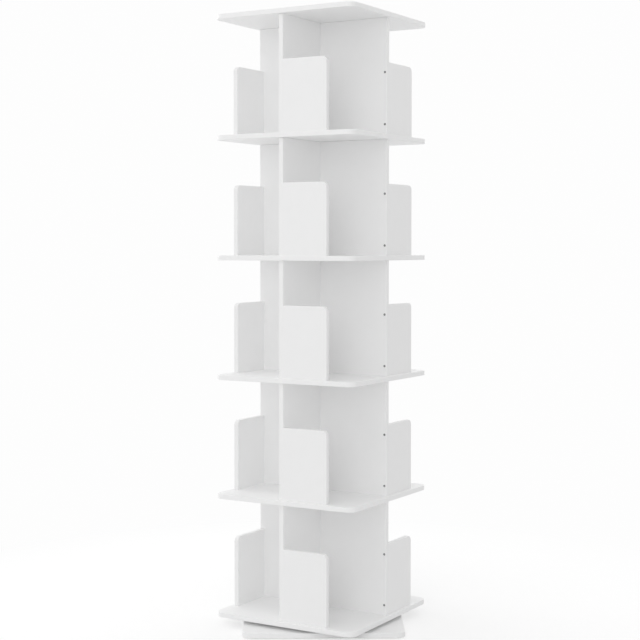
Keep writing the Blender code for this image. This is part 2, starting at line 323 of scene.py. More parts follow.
@dataclass(frozen=True)
class CoreFinish(Finish):
    """Chipboard inside a countersink: tan chips in a darker glue."""

    name: str = "chipboard_core"
    chip: Colour = (0.42, 0.29, 0.17, 1.0)
    glue: Colour = (0.18, 0.11, 0.06, 1.0)
    chips: Pattern = Pattern(900.0, 4.0)
    chip_span: Span = (0.35, 0.62)
    roughness: Span = (0.95, 0.75)
    roughness_span: Span = (0.2, 0.8)
    chip_depth: float = 0.0004
    chip_strength: float = 0.8

    def write(self, sheet: ShaderSheet) -> None:
        """Writes the chipboard as shader nodes.

        Args:
            sheet: The material's sheet.
        """
        chips = sheet.cloud(self.chips)
        sheet.surface(
            Base_Color=sheet.tint(sheet.spread(chips, self.chip_span), self.glue, self.chip),
            Roughness=sheet.spread(chips, self.roughness_span, self.roughness),
            Normal=sheet.relief(chips, self.chip_depth, self.chip_strength),
        )


@dataclass(frozen=True)
class MetalFinish(Finish):
    """A metal with fine tool lines round the axis and a thin, dull film in patches."""

    tone: Colour
    dull: Colour
    roughness: float
    lines: Pattern
    film: Pattern = Pattern(160.0, 4.0)
    film_span: Span = (0.38, 0.66)
    unevenness: float = 0.10
    line_depth: float = 0.00002
    line_strength: float = 0.4

    def write(self, sheet: ShaderSheet) -> None:
        """Writes the metal as shader nodes.

        Args:
            sheet: The material's sheet.
        """
        radius = sheet.length(sheet.stretched((1.0, 1.0, 0.0)))
        lines = sheet.cloud(self.lines, sheet.node("ShaderNodeCombineXYZ", None, {"X": radius}))
        film = sheet.spread(sheet.cloud(self.film), self.film_span)
        smoothest = self.roughness - self.unevenness / 2.0
        sheet.surface(
            Base_Color=sheet.tint(film, self.tone, self.dull),
            Metallic=1.0,
            Roughness=smoothest + self.unevenness * (lines + film),
            Normal=sheet.relief(lines, self.line_depth, self.line_strength),
        )


@dataclass(frozen=True)
class NylonFinish(Finish):
    """Moulded nylon of the ball cage: slightly cloudy and waxy."""

    name: str = "moulded_nylon"
    clear: Colour = (0.62, 0.60, 0.53, 1.0)
    cloudy: Colour = (0.72, 0.71, 0.66, 1.0)
    haze: Pattern = Pattern(240.0, 3.0)
    roughness: float = 0.36
    haze_dulling: float = 0.16
    grain: Pattern = Pattern(1600.0)
    grain_depth: float = 0.00003
    grain_strength: float = 0.4

    def write(self, sheet: ShaderSheet) -> None:
        """Writes the nylon as shader nodes.

        Args:
            sheet: The material's sheet.
        """
        haze = sheet.cloud(self.haze)
        sheet.surface(
            Base_Color=sheet.tint(haze, self.clear, self.cloudy),
            Roughness=self.roughness + self.haze_dulling * haze,
            Normal=sheet.relief(sheet.cloud(self.grain), self.grain_depth, self.grain_strength),
        )


@dataclass(frozen=True)
class FeltFinish(Finish):
    """Pressed grey felt of the foot pads: tangled fibres, matted where it bears."""

    name: str = "pressed_felt"
    dark: Colour = (0.11, 0.11, 0.115, 1.0)
    light: Colour = (0.27, 0.27, 0.275, 1.0)
    fibres: Pattern = Pattern(1300.0, 4.0)
    fibre_stretch: float = 0.22
    fibre_span: Span = (0.45, 0.75)
    roughness: Span = (1.0, 0.85)
    roughness_span: Span = (0.3, 0.8)
    nap_depth: float = 0.0006
    nap_strength: float = 0.9

    def write(self, sheet: ShaderSheet) -> None:
        """Writes the felt as shader nodes.

        Args:
            sheet: The material's sheet.
        """
        along = sheet.cloud(self.fibres, sheet.stretched((1.0, self.fibre_stretch, 1.0)))
        across = sheet.cloud(self.fibres, sheet.stretched((self.fibre_stretch, 1.0, 1.0)))
        fibres = along | across
        sheet.surface(
            Base_Color=sheet.tint(sheet.spread(fibres, self.fibre_span), self.dark, self.light),
            Roughness=sheet.spread(fibres, self.roughness_span, self.roughness),
            Normal=sheet.relief(fibres, self.nap_depth, self.nap_strength),
        )


@dataclass(frozen=True)
class Dress:
    """What a kind of piece wears: its record slot, and its materials in the order of its layers."""

    slot: Slot
    materials: tuple[Material, ...]


class Finishes:
    """The dress of every kind of piece, made once."""

    FINE_PEARL = Pattern(1500.0)

    def __init__(self) -> None:
        """Builds the materials."""
        face = LaminateFinish("white_melamine")
        band = LaminateFinish("white_edge_band", wear=0.08, roughness=0.38, pearl=self.FINE_PEARL,
                              pearl_depth=0.00003)
        arris = LaminateFinish("rubbed_arris", tone=0.91, wear=0.60, roughness=0.36, pearl=self.FINE_PEARL,
                               pearl_depth=0.00002)
        # The zinc's tone and the grey of its dull film are darker than plated steel: partly the screws'
        # own colour, and partly painted shade that stands in for the shade in the cross recess and round
        # the countersunk head
        zinc = MetalFinish("zinc_plated_steel", tone=(0.39, 0.39, 0.40, 1.0), dull=grey(0.26),
                           roughness=0.38, lines=Pattern(2600.0, 3.0))
        aluminium = MetalFinish("turned_aluminium", tone=(0.78, 0.78, 0.79, 1.0),
                                dull=(0.62, 0.62, 0.63, 1.0), roughness=0.34, lines=Pattern(1800.0, 3.0))
        ball_steel = MetalFinish("polished_ball_steel", tone=(0.66, 0.66, 0.67, 1.0),
                                 dull=(0.56, 0.56, 0.57, 1.0), roughness=0.14, lines=Pattern(900.0, 3.0))
        layers = (face, band, arris, CoreFinish())
        self.board = Dress(Slot.LAMINATE, tuple(finish.build() for finish in layers))
        self.screw = Dress(Slot.ZINC, (zinc.build(),))
        # A countersink keeps its core layer in a ring too, so a ring has as many slots as a board
        self.ring = Dress(Slot.ALUMINIUM, (aluminium.build(),) * len(layers))
        self.ball = Dress(Slot.ZINC, (ball_steel.build(),))
        self.cage = Dress(Slot.NYLON, (NylonFinish().build(),))
        self.pad = Dress(Slot.FELT, (FeltFinish().build(),))


def anywhere(centre: Vector) -> bool:
    """Chooses every edge."""
    return True


def middle_of(edge: Edge) -> Vector:
    """Returns an edge's middle."""
    return (edge.verts[0].co + edge.verts[1].co) / 2.0


class Blank:
    """A solid at the bench, shaped step by step before it becomes a piece."""

    def __init__(self) -> None:
        """Starts with nothing on the bench."""
        self.bm = bmesh.new()

    @classmethod
    def board(cls, low: Vector, high: Vector) -> "Blank":
        """Cuts a board to size.

        Args:
            low: Its lowest corner.
            high: Its highest corner.

        Returns:
            The square-edged board.
        """
        blank = cls()
        bmesh.ops.create_cube(blank.bm, size=1.0)
        bmesh.ops.scale(blank.bm, vec=high - low, verts=blank.bm.verts)
        bmesh.ops.translate(blank.bm, vec=(low + high) / 2.0, verts=blank.bm.verts)
        return blank

    @classmethod
    def turned(cls, profile: Profile, steps: int, closed: bool = False) -> "Blank":
        """Turns a profile round the Z axis.

        Args:
            profile: Radius and height of each point.
            steps: Number of facets round the axis.
            closed: Whether the profile ends where it starts, as on a ring.

        Returns:
            The turned solid.
        """
        blank = cls()
        points = [blank.bm.verts.new((radius, 0.0, height)) for radius, height in profile]
        followers = points[1:] + points[:1] if closed else points[1:]
        edges = [blank.bm.edges.new(pair) for pair in zip(points, followers)]
        bmesh.ops.spin(blank.bm, geom=points + edges, cent=(0, 0, 0), axis=(0, 0, 1), angle=FULL_TURN,
                       steps=steps, use_merge=True)
        bmesh.ops.remove_doubles(blank.bm, verts=blank.bm.verts, dist=MERGE_DISTANCE)
        bmesh.ops.recalc_face_normals(blank.bm, faces=blank.bm.faces)
        return blank

    @classmethod
    def rod(cls, radius: float, reach: float, steps: int) -> "Blank":
        """Turns a plain rod that reaches equally far up and down from the origin."""
        return cls.turned([(0.0, reach), (radius, reach), (radius, -reach), (0.0, -reach)], steps)

    def bevel(self, edges: Sequence[Edge], width: float, segments: int) -> set[Face]:
        """Rounds edges.

        Args:
            edges: The edges.
            width: The radius of the rounding.
            segments: Its number of facets.

        Returns:
            The faces of the rounding.
        """
        made = bmesh.ops.bevel(self.bm, geom=list(edges), offset=width, offset_type="OFFSET",
                               affect="EDGES", segments=segments, profile=0.5, material=-1,
                               clamp_overlap=True)
        return set(made["faces"])

    def round_corners(self, along: Axis, radius: float, segments: int, chosen: Test = anywhere) -> None:
        """Rounds the corners that run along one axis.

        Args:
            along: The axis that the corner edges follow.
            radius: Corner radius.
            segments: Facets in each corner.
            chosen: Says from an edge's middle whether it is rounded.
        """
        picked = []
        for edge in self.bm.edges:
            run = (edge.verts[1].co - edge.verts[0].co).normalized()
            if abs(run[along.value]) > STRAIGHT and chosen(middle_of(edge)):
                picked.append(edge)
        self.bevel(picked, radius, segments)

    def band_edges(self, through: Axis) -> None:
        """Gives every face that isn't one of the two broad ones the edge band.

        Args:
            through: The axis that runs through the board's thickness.
        """
        for face in self.bm.faces:
            broad = abs(face.normal[through.value]) > STRAIGHT
            face.material_index = Layer.FACE.value if broad else Layer.BAND.value

    def ease(self, width: float, segments: int, margin: float, free: Test) -> None:
        """Eases the free sharp edges, and rings each flat so that its shading stays flat.

        Args:
            width: Radius of the eased edge.
            segments: Its number of facets.
            margin: Width of the ring inside each flat.
            free: Says from an edge's middle whether it lies free, and not against another board.
        """
        sharp = [edge for edge in self.bm.edges if edge.calc_face_angle(0.0) > SHARP_ANGLE]
        eased = self.bevel([edge for edge in sharp if free(middle_of(edge))], width, segments)
        for face in eased:
            face.material_index = Layer.ARRIS.value
        for flat in self.smooth_groups({face for face in self.bm.faces if face not in eased}):
            bmesh.ops.inset_region(self.bm, faces=flat, thickness=margin, use_even_offset=True,
                                   use_boundary=True)

    @staticmethod
    def smooth_groups(loose: set[Face]) -> list[list[Face]]:
        """Sorts faces into groups that run on smoothly, such as the band round a shelf.

        Args:
            loose: The faces to sort; the set is used up.

        Returns:
            The groups.
        """
        groups = []
        while loose:
            group = [loose.pop()]
            for face in group:
                for edge in face.edges:
                    if edge.calc_face_angle(HALF_TURN) < SHARP_ANGLE:
                        fresh = loose.intersection(edge.link_faces)
                        group.extend(fresh)
                        loose -= fresh
            groups.append(group)
        return groups

    def paint(self, layer: Layer) -> None:
        """Gives every face one of a board's layers."""
        for face in self.bm.faces:
            face.material_index = layer.value

    def move(self, matrix: Matrix) -> None:
        """Moves the whole blank."""
        bmesh.ops.transform(self.bm, matrix=matrix, verts=self.bm.verts)

    def mesh(self) -> Mesh:
        """Ends the bench work.

        Returns:
            The mesh, shaded smooth up to the sharp angle.
        """
        made = bpy.data.meshes.new("blank")
        self.bm.to_mesh(made)
        self.bm.free()
        made.shade_smooth()
        made.set_sharp_from_angle(angle=SHARP_ANGLE)
        return made


def carved(mesh: Mesh, cutters: Iterable[Mesh]) -> Mesh:
    """Cuts shapes out of a mesh.

    Args:
        mesh: The mesh to cut.
        cutters: Closed meshes to take away.

    Returns:
        The cut mesh.
    """
    collection = bpy.context.scene.collection
    target = bpy.data.objects.new("carved_blank", mesh)
    collection.objects.link(target)
    tools = []
    for cutter in cutters:
        tool = bpy.data.objects.new("carving_tool", cutter)
        collection.objects.link(tool)
        tools.append(tool)
        cut = target.modifiers.new("cut", "BOOLEAN")
        cut.operation = "DIFFERENCE"
        cut.solver = "EXACT"
        cut.material_mode = "INDEX"
        cut.object = tool
    graph = bpy.context.evaluated_depsgraph_get()
    bench = Blank()
    bench.bm.from_mesh(bpy.data.meshes.new_from_object(target.evaluated_get(graph)))
    for used in [target, *tools]:
        bpy.data.objects.remove(used)
    bmesh.ops.remove_doubles(bench.bm, verts=bench.bm.verts, dist=MERGE_DISTANCE)
    bmesh.ops.dissolve_degenerate(bench.bm, edges=bench.bm.edges, dist=MERGE_DISTANCE)
    return bench.mesh()


def gathered(meshes: Iterable[Mesh]) -> Mesh:
    """Puts several meshes into one.

    Args:
        meshes: The meshes.

    Returns:
        One mesh that holds them all as separate bodies.
    """
    bench = Blank()
    for mesh in meshes:
        bench.bm.from_mesh(mesh)
    return bench.mesh()


def placed(mesh: Mesh, matrix: Matrix) -> Mesh:
    """Copies a mesh to a place.

    Args:
        mesh: The mesh to copy.
        matrix: Where the copy goes.

    Returns:
        The moved copy.
    """
    copy = mesh.copy()
    copy.transform(matrix)
    return copy


def make_piece(name: str, mesh: Mesh, dress: Dress, body: Body, stands_for_node: bool = True) -> Piece:
    """Makes a finished piece of a mesh.

    Args:
        name: What the piece is; the piece itself is named as the finished one.
        mesh: Its mesh, in the row frame.
        dress: Its materials.
        body: The body that it rides on.
        stands_for_node: Whether it takes the place of the node that has its name.

    Returns:
        The piece.
    """
    mesh.name = f"finished_{name}"
    mesh.materials.clear()
    for material in dress.materials:
        mesh.materials.append(material)
    piece = bpy.data.objects.new(mesh.name, mesh)
    bpy.context.scene.collection.objects.link(piece)
    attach(piece, body.value)
    if stands_for_node:
        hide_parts(name)
    log.info("%s: %d faces on %s", name, len(mesh.polygons), body.value)
    return piece


def centre_of(node: str) -> Vector:
    """Returns the centre of a node's box."""
    low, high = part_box(node)
    return (low + high) / 2.0


def heights_of(node: str) -> Span:
    """Returns the heights between which a node lies."""
    low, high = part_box(node)
    return (low.z, high.z)


def facing_up(height: float) -> Matrix:
    """Returns where a screw goes that is sunk from above into a face at a height."""
    return Matrix.Translation((0.0, 0.0, height))


def facing_down(height: float) -> Matrix:
    """Returns where a screw goes that is sunk from below into a face at a height."""
    return Matrix.Translation((0.0, 0.0, height)) @ Matrix.Rotation(HALF_TURN, 4, "X")


@dataclass(frozen=True)
class Screw:
    """A countersunk screw with a cross recess, its head facing up at the origin."""

    head_radius: float = 0.0030
    head_depth: float = 0.0022
    rim: float = 0.00025
    sink: float = 0.00020
    shank_radius: float = 0.00160
    length: float = 0.0080
    arm_width: float = 0.0010
    arm_length: float = 0.0040
    recess_depth: float = 0.0014
    recess_taper: float = 0.45
    play: float = 0.00025
    sides: int = 32

    def blade(self) -> Mesh:
        """Shapes one blade of the driver bit, which tapers down into the head.

        Returns:
            The blade.
        """
        reach = Vector((self.arm_length / 2.0, self.arm_width / 2.0, self.recess_depth))
        blank = Blank.board(-reach, reach)
        tip = [vert for vert in blank.bm.verts if vert.co.z < 0.0]
        bmesh.ops.scale(blank.bm, vec=(self.recess_taper, self.recess_taper, 1.0), verts=tip)
        return blank.mesh()

    def mesh(self) -> Mesh:
        """Turns the screw and presses its recess.

        Returns:
            The screw: head, cone and shank.
        """
        profile = [
            (0.0, 0.0),
            (self.head_radius - self.rim, 0.0),
            (self.head_radius, -self.rim),
            (self.shank_radius, -self.head_depth),
            (self.shank_radius, -self.length),
            (0.0, -self.length),
        ]
        blade = self.blade()
        crossed = placed(blade, Matrix.Rotation(QUARTER_TURN, 4, "Z"))
        screw = carved(Blank.turned(profile, self.sides).mesh(), [blade, crossed])
        return placed(screw, Matrix.Translation((0.0, 0.0, -self.sink)))

    def driven(self, spots: Iterable[Matrix]) -> Mesh:
        """Returns one mesh of the screws at some places."""
        screw = self.mesh()
        return gathered([placed(screw, spot) for spot in spots])

    def pockets(self, spots: Iterable[Matrix]) -> list[Mesh]:
        """Makes the countersinks to cut for screws, painted as board core.

        Args:
            spots: The places of the screws.

        Returns:
            The cutters.
        """
        mouth = self.head_radius + self.play
        shank = self.shank_radius + self.play
        depth = self.head_depth + self.sink + self.play
        above = self.head_depth
        end = -self.length - above
        flare = mouth + (mouth - shank) * above / depth
        profile = [(0.0, above), (flare, above), (shank, -depth), (shank, end), (0.0, end)]
        blank = Blank.turned(profile, self.sides)
        blank.paint(Layer.CORE)
        pocket = blank.mesh()
        return [placed(pocket, spot) for spot in spots]


@dataclass(frozen=True)
class BoardStyle:
    """How every board of the bookcase is edged."""

    arris: float = 0.0007
    arris_segments: int = 3
    ring: float = 0.0016
    corner_segments: int = 20

    def finish(self, blank: Blank, through: Axis, free: Test = anywhere) -> None:
        """Bands and eases a board.

        Args:
            blank: The board.
            through: The axis through its thickness.
            free: Says from an edge's middle whether it lies free, and not against another board.
        """
        blank.bm.normal_update()
        blank.band_edges(through)
        blank.ease(self.arris, self.arris_segments, self.ring, free)


@dataclass(frozen=True)
class Shelf:
    """A square shelf with rounded corners, and the screws that hold it where it is an end shelf."""

    name: str
    low: Vector
    high: Vector
    screw_spots: tuple[Matrix, ...] = ()
    corner_radius: float = 0.025
    style: BoardStyle = BoardStyle()
    screw: Screw = Screw()

    def build(self, finishes: Finishes) -> list[Piece]:
        """Builds the shelf.

        Args:
            finishes: The finishes.

        Returns:
            The shelf, and its screws if it has any.
        """
        blank = Blank.board(self.low, self.high)
        blank.round_corners(Axis.Z, self.corner_radius, self.style.corner_segments)
        self.style.finish(blank, Axis.Z)
        mesh = blank.mesh()
        if not self.screw_spots:
            return [make_piece(self.name, mesh, finishes.board, Body.CASE)]
        bored = carved(mesh, self.screw.pockets(self.screw_spots))
        screws = self.screw.driven(self.screw_spots)
        return [
            make_piece(self.name, bored, finishes.board, Body.CASE),
            make_piece(f"{self.name}_screws", screws, finishes.screw, Body.CASE, stands_for_node=False),
        ]


@dataclass(frozen=True)
class Tier:
    """One tier's pinwheel: four uprights, four guards and the screws that join them."""

    floor: float
    ceiling: float
    upright_end: float
    thickness: float
    guard_length: float
    guard_height: float
    top_gap: float = 0.0003
    guard_corner_radius: float = 0.013
    screw_setback: float = 0.025
    style: BoardStyle = BoardStyle()
    screw: Screw = Screw()

    @classmethod
    def from_frame(cls) -> "Tier":
        """Reads the lowest tier's sizes from the frame; its boards stand on the shelf and butt together.

        Returns:
            The tier.
        """
        upright_low, upright_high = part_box("tier_1_upright_right")
        guard_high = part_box("tier_1_guard_right")[1]
        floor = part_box("bottom_shelf")[1].z
        return cls(
            floor=floor,
            ceiling=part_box("shelf_2")[0].z,
            upright_end=upright_high.x,
            thickness=upright_high.y - upright_low.y,
            guard_length=guard_high.y,
            guard_height=guard_high.z - floor,
        )

    def screw_spots(self) -> list[Matrix]:
        """Places the right-hand guard's screws.

        Returns:
            Their places, above the tier's floor.
        """
        across = self.upright_end - self.thickness / 2.0
        facing = Matrix.Rotation(QUARTER_TURN, 4, "X")
        heights = (self.screw_setback, self.guard_height - self.screw_setback)
        return [Matrix.Translation((across, -self.thickness, height)) @ facing for height in heights]

    def upright(self) -> Mesh:
        """Cuts the right-hand upright, standing at height 0, with its two countersinks.

        Returns:
            The upright.
        """
        low = Vector((0.0, -self.thickness, 0.0))
        high = Vector((self.upright_end, 0.0, self.ceiling - self.floor - self.top_gap))
        middle = (low + high) / 2.0

        def at_free_end(centre: Vector) -> bool:
            """Chooses the edges that run up the outer end."""
            outer = centre.x > self.upright_end - self.thickness
            return outer and abs(centre.z - middle.z) < self.thickness

        blank = Blank.board(low, high)
        self.style.finish(blank, Axis.Y, at_free_end)
        return carved(blank.mesh(), self.screw.pockets(self.screw_spots()))

    def guard(self) -> Mesh:
        """Cuts the right-hand guard, standing at height 0, with its top outer corner rounded.

        Returns:
            The guard.
        """
        low = Vector((self.upright_end - self.thickness, 0.0, 0.0))
        high = Vector((self.upright_end, self.guard_length, self.guard_height))
        middle = (low + high) / 2.0

        def at_top_corner(centre: Vector) -> bool:
            """Chooses the outer corner at the top."""
            return centre.y > middle.y and centre.z > middle.z

        def is_free(centre: Vector) -> bool:
            """Chooses the edges that touch neither the upright nor the shelf."""
            return centre.y > middle.y or centre.z > middle.z

        blank = Blank.board(low, high)
        blank.round_corners(Axis.X, self.guard_corner_radius, self.style.corner_segments, at_top_corner)
        self.style.finish(blank, Axis.X, is_free)
        return blank.mesh()

    def build(self, number: int, pitch: float, finishes: Finishes) -> list[Piece]:
        """Builds one tier.

        Args:
            number: Its number, from 1 at the bottom.
            pitch: Height from one tier to the next.
            finishes: The finishes.

        Returns:
            The tier's pieces.
        """
        level = Matrix.Translation((0.0, 0.0, self.floor + (number - 1) * pitch))
        screws = self.screw.driven(self.screw_spots())
        kinds = (
            ("upright", self.upright(), finishes.board, True),
            ("guard", self.guard(), finishes.board, True),
            ("guard_screws", screws, finishes.screw, False),
        )
        pieces = []
        for side in Side:
            place = level @ side.turn()
            for kind, mesh, dress, stands_for_node in kinds:
                name = f"tier_{number}_{kind}_{side.name.lower()}"
                pieces.append(make_piece(name, placed(mesh, place), dress, Body.CASE, stands_for_node))
        return pieces


@dataclass(frozen=True)
class Case:
    """The turning case: six shelves and five tiers."""

    tier: Tier
    pitch: float
    fixing_setback: float = 0.045

    @classmethod
    def from_frame(cls) -> "Case":
        """Reads the case's sizes from the frame."""
        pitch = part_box("shelf_3")[0].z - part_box("shelf_2")[0].z
        return cls(Tier.from_frame(), pitch)

    def fixing_spots(self, face: Matrix) -> tuple[Matrix, ...]:
        """Places an end shelf's screws, over or under the uprights' ends.

        Args:
            face: The height and facing of the face that the heads lie in.

        Returns:
            The places.
        """
        spots = []
        for side in Side:
            for reach in (self.fixing_setback, self.tier.upright_end - self.fixing_setback):
                at = Matrix.Translation((reach, -self.tier.thickness / 2.0, 0.0))
                spots.append(side.turn() @ at @ face)
        return tuple(spots)

    def shelves(self) -> list[Shelf]:
        """Lists the shelves.

        Returns:
            The shelves from the bottom up.
        """
        names = ["bottom_shelf", *(f"shelf_{number}" for number in range(2, TIER_COUNT + 1)), "top_shelf"]
        spots = {
            "bottom_shelf": self.fixing_spots(facing_down(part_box("bottom_shelf")[0].z)),
            "top_shelf": self.fixing_spots(facing_up(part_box("top_shelf")[1].z)),
        }
        return [Shelf(name, *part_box(name), spots.get(name, ())) for name in names]

    def build(self, finishes: Finishes) -> list[Piece]:
        """Builds the case.

        Args:
            finishes: The finishes.

        Returns:
            Its pieces.
        """
        pieces = []
        for shelf in self.shelves():
            pieces.extend(shelf.build(finishes))
        for number in range(1, TIER_COUNT + 1):
            pieces.extend(self.tier.build(number, self.pitch, finishes))
        return pieces


@dataclass(frozen=True)
class Stand:
    """The base board, turned against the case, on four felt pads."""

    turn: float
    low: float
    high: float
    pad_radius: float
    pad_height: float
    pad_centres: tuple[Vector, ...]
    side: float = 0.400
    corner_radius: float = 0.025
    access_radius: float = 0.0065
    access_reach: float = 0.0528
    round_sides: int = 48
    pad_edge: float = 0.0005
    pad_ring: float = 0.0015
    fuzz: float = 0.00012
    fuzz_scale: float = 900.0
    fuzz_change: float = 10.0
    style: BoardStyle = BoardStyle()

    @classmethod
    def from_frame(cls) -> "Stand":
        """Reads the stand's sizes from the frame; its first pad shows how far the board is turned.

        Returns:
            The stand.
        """
        low, high = heights_of("base_board")
        pad_low, pad_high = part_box("foot_pad_1")
        centres = tuple(centre_of(f"foot_pad_{number}") for number in range(1, PAD_COUNT + 1))
        return cls(
            turn=math.atan2(centres[0].y, centres[0].x) - EIGHTH_TURN,
            low=low,
            high=high,
            pad_radius=(pad_high.x - pad_low.x) / 2.0,
            pad_height=pad_high.z,
            pad_centres=centres,
        )

    def board(self) -> Mesh:
        """Cuts the base board, with the hole that the ring's screws are driven through.

        Returns:
            The board.
        """
        half = self.side / 2.0
        blank = Blank.board(Vector((-half, -half, self.low)), Vector((half, half, self.high)))
        blank.round_corners(Axis.Z, self.corner_radius, self.style.corner_segments)
        self.style.finish(blank, Axis.Z)
        bore = Blank.rod(self.access_radius, self.high - self.low, self.round_sides)
        bore.paint(Layer.CORE)
        bore.move(Matrix.Translation((0.0, self.access_reach, (self.low + self.high) / 2.0)))
        return placed(carved(blank.mesh(), [bore.mesh()]), Matrix.Rotation(self.turn, 4, "Z"))

    def pad(self, centre: Vector) -> Mesh:
        """Cuts one felt pad, its rim frayed a little.

        Args:
            centre: The pad's centre.

        Returns:
            The pad.
        """
        top = self.pad_height
        edge = self.pad_edge
        radius = self.pad_radius - self.fuzz
        flat = radius - edge
        ring = radius - self.pad_ring
        profile = [(0.0, top), (ring, top), (flat, top), (radius, top - edge), (radius, edge), (flat, 0.0),
                   (0.0, 0.0)]
        blank = Blank.turned(profile, self.round_sides)
        for vert in blank.bm.verts:
            out = vert.co.xy
            if out.length > (ring + flat) / 2.0:
                spot = vert.co * self.fuzz_scale + centre * self.fuzz_change
                vert.co.xy = out + out.normalized() * noise.noise(spot) * self.fuzz
        blank.move(Matrix.Translation((centre.x, centre.y, 0.0)))
        return blank.mesh()

    def build(self, finishes: Finishes) -> list[Piece]:
        """Builds the stand.

        Args:
            finishes: The finishes.

        Returns:
            Its pieces.
        """
        pieces = [make_piece("base_board", self.board(), finishes.board, Body.BASE)]
        for number, centre in enumerate(self.pad_centres, 1):
            pieces.append(make_piece(f"foot_pad_{number}", self.pad(centre), finishes.pad, Body.BASE))
        return pieces


@dataclass(frozen=True)
class Turntable:
    """The ring bearing: two aluminium rings, balls in a nylon cage, and the rings' screws."""

    outer_heights: Span
    inner_heights: Span
    cage_heights: Span
    ball_circle: float = 0.061
    ball_radius: float = 0.002
    ball_count: int = 12
    ball_divisions: int = 3
    ball_play: float = 0.00015
    ring_width: float = 0.013
    ring_sides: int = 160
    running_gap: float = 0.00045
    edge: float = 0.0006
    groove_steps: int = 10
    cage_thickness: float = 0.001
    window_sides: int = 24
    screw: Screw = Screw(length=0.0100)

    @classmethod
    def from_frame(cls) -> "Turntable":
        """Reads the bearing's heights from the frame."""
        nodes = ("turntable_outer_ring", "turntable_inner_ring", "turntable_ball_cage")
        return cls(*(heights_of(node) for node in nodes))

    @property
    def middle(self) -> float:
        """Returns the height of the balls' centres."""
        return sum(self.cage_heights) / 2.0

    def ring(self, out: int, heights: Span) -> Mesh:
        """Turns one ring, with eased edges and a round groove for the balls.

        Args:
            out: 1 for the ring outside the balls, and -1 for the one inside them.
            heights: Its lowest and highest height.

        Returns:
            The ring.
        """
        low, high = heights
        wall = self.cage_thickness / 2.0 + self.running_gap
        near = self.ball_circle + out * wall
        far = near + out * self.ring_width
        ease = out * self.edge
        profile = [
            (near + ease, high),
            (far - ease, high),
            (far, high - self.edge),
            (far, low + self.edge),
            (far - ease, low),
            (near + ease, low),
            (near, low + self.edge),
        ]
        groove = self.ball_radius + self.ball_play
        half_angle = math.acos(wall / groove)
        for step in range(self.groove_steps + 1):
            angle = half_angle * (2.0 * step / self.groove_steps - 1.0)
            across = self.ball_circle + out * groove * math.cos(angle)
            profile.append((across, self.middle + groove * math.sin(angle)))
        profile.append((near, high - self.edge))
        return Blank.turned(profile, self.ring_sides, closed=True).mesh()

    def ball_places(self) -> list[Matrix]:
        """Spaces the balls round their circle.

        Returns:
            Their places, each facing outwards along X.
        """
        lift = Matrix.Translation((self.ball_circle, 0.0, self.middle))
        step = FULL_TURN / self.ball_count
        return [Matrix.Rotation(step * index, 4, "Z") @ lift for index in range(self.ball_count)]

    def balls(self) -> Mesh:
        """Makes the ring of balls.

        Returns:
            The balls.
        """
        blank = Blank()
        bmesh.ops.create_icosphere(blank.bm, subdivisions=self.ball_divisions, radius=self.ball_radius)
        ball = blank.mesh()
        return gathered([placed(ball, place) for place in self.ball_places()])

    def cage(self) -> Mesh:
        """Turns the cage and cuts a window for each ball.

        Returns:
            The cage.
        """
        low, high = self.cage_heights
        near = self.ball_circle - self.cage_thickness / 2.0
        far = near + self.cage_thickness
        profile = [(near, high), (far, high), (far, low), (near, low)]
        band = Blank.turned(profile, self.ring_sides, closed=True).mesh()
        rod = Blank.rod(self.ball_radius + self.ball_play, self.ball_radius, self.window_sides)
        rod.move(Matrix.Rotation(QUARTER_TURN, 4, "Y"))
        window = rod.mesh()
        return carved(band, [placed(window, place) for place in self.ball_places()])

    def fixed_ring(self, name: str, ring: Mesh, face: Matrix, body: Body,
                   finishes: Finishes) -> list[Piece]:
        """Bores a ring for its screws, and makes pieces of it and of them.

        Args:
            name: Which of the two rings it is.
            ring: The ring's mesh.
            face: The height and facing of the face that the heads lie in.
            body: The body that it is fixed to.
            finishes: The finishes.

        Returns:
            The ring and its screws.
        """
        nodes = [f"{name}_ring_screw_{number}" for number in range(1, RING_SCREW_COUNT + 1)]
        centres = [centre_of(node) for node in nodes]
        spots = [Matrix.Translation((centre.x, centre.y, 0.0)) @ face for centre in centres]
        bored = carved(ring, self.screw.pockets(spots))
        pieces = [make_piece(f"turntable_{name}_ring", bored, finishes.ring, body)]
        screw = self.screw.mesh()
        for node, spot in zip(nodes, spots):
            pieces.append(make_piece(node, placed(screw, spot), finishes.screw, body))
        return pieces

    def build(self, finishes: Finishes) -> list[Piece]:
        """Builds the turntable.

        Args:
            finishes: The finishes.

        Returns:
            Its pieces.
        """
        outer = self.ring(1, self.outer_heights)
        inner = self.ring(-1, self.inner_heights)
        return [
            *self.fixed_ring("outer", outer, facing_up(self.outer_heights[1]), Body.BASE, finishes),
            *self.fixed_ring("inner", inner, facing_down(self.inner_heights[0]), Body.CASE, finishes),
            make_piece("turntable_ball_cage", self.cage(), finishes.cage, Body.BALL_CAGE),
            make_piece("turntable_balls", self.balls(), finishes.ball, Body.BALL_CAGE,
                       stands_for_node=False),
        ]


@dataclass(frozen=True)
class Lamp:
    """A soft round studio lamp that faces a point of the object."""

    name: str
    azimuth: float
    elevation: float
    size: float
    power: float
    distance: float = 4.5
    target: Vector = Vector((0.0, 0.0, 0.8))

    def build(self) -> None:
        """Hangs the lamp."""
        light = bpy.data.lights.new(self.name, "AREA")
        light.shape = "DISK"
        light.size = self.size
        light.energy = self.power
        flat = math.cos(self.elevation)
        across = flat * math.sin(self.azimuth)
        back = -flat * math.cos(self.azimuth)
        offset = Vector((across, back, math.sin(self.elevation))) * self.distance
        lamp = bpy.data.objects.new(self.name, light)
        lamp.location = self.target + offset
        lamp.rotation_euler = (-offset).to_track_quat("-Z", "Y").to_euler()
        bpy.context.scene.collection.objects.link(lamp)


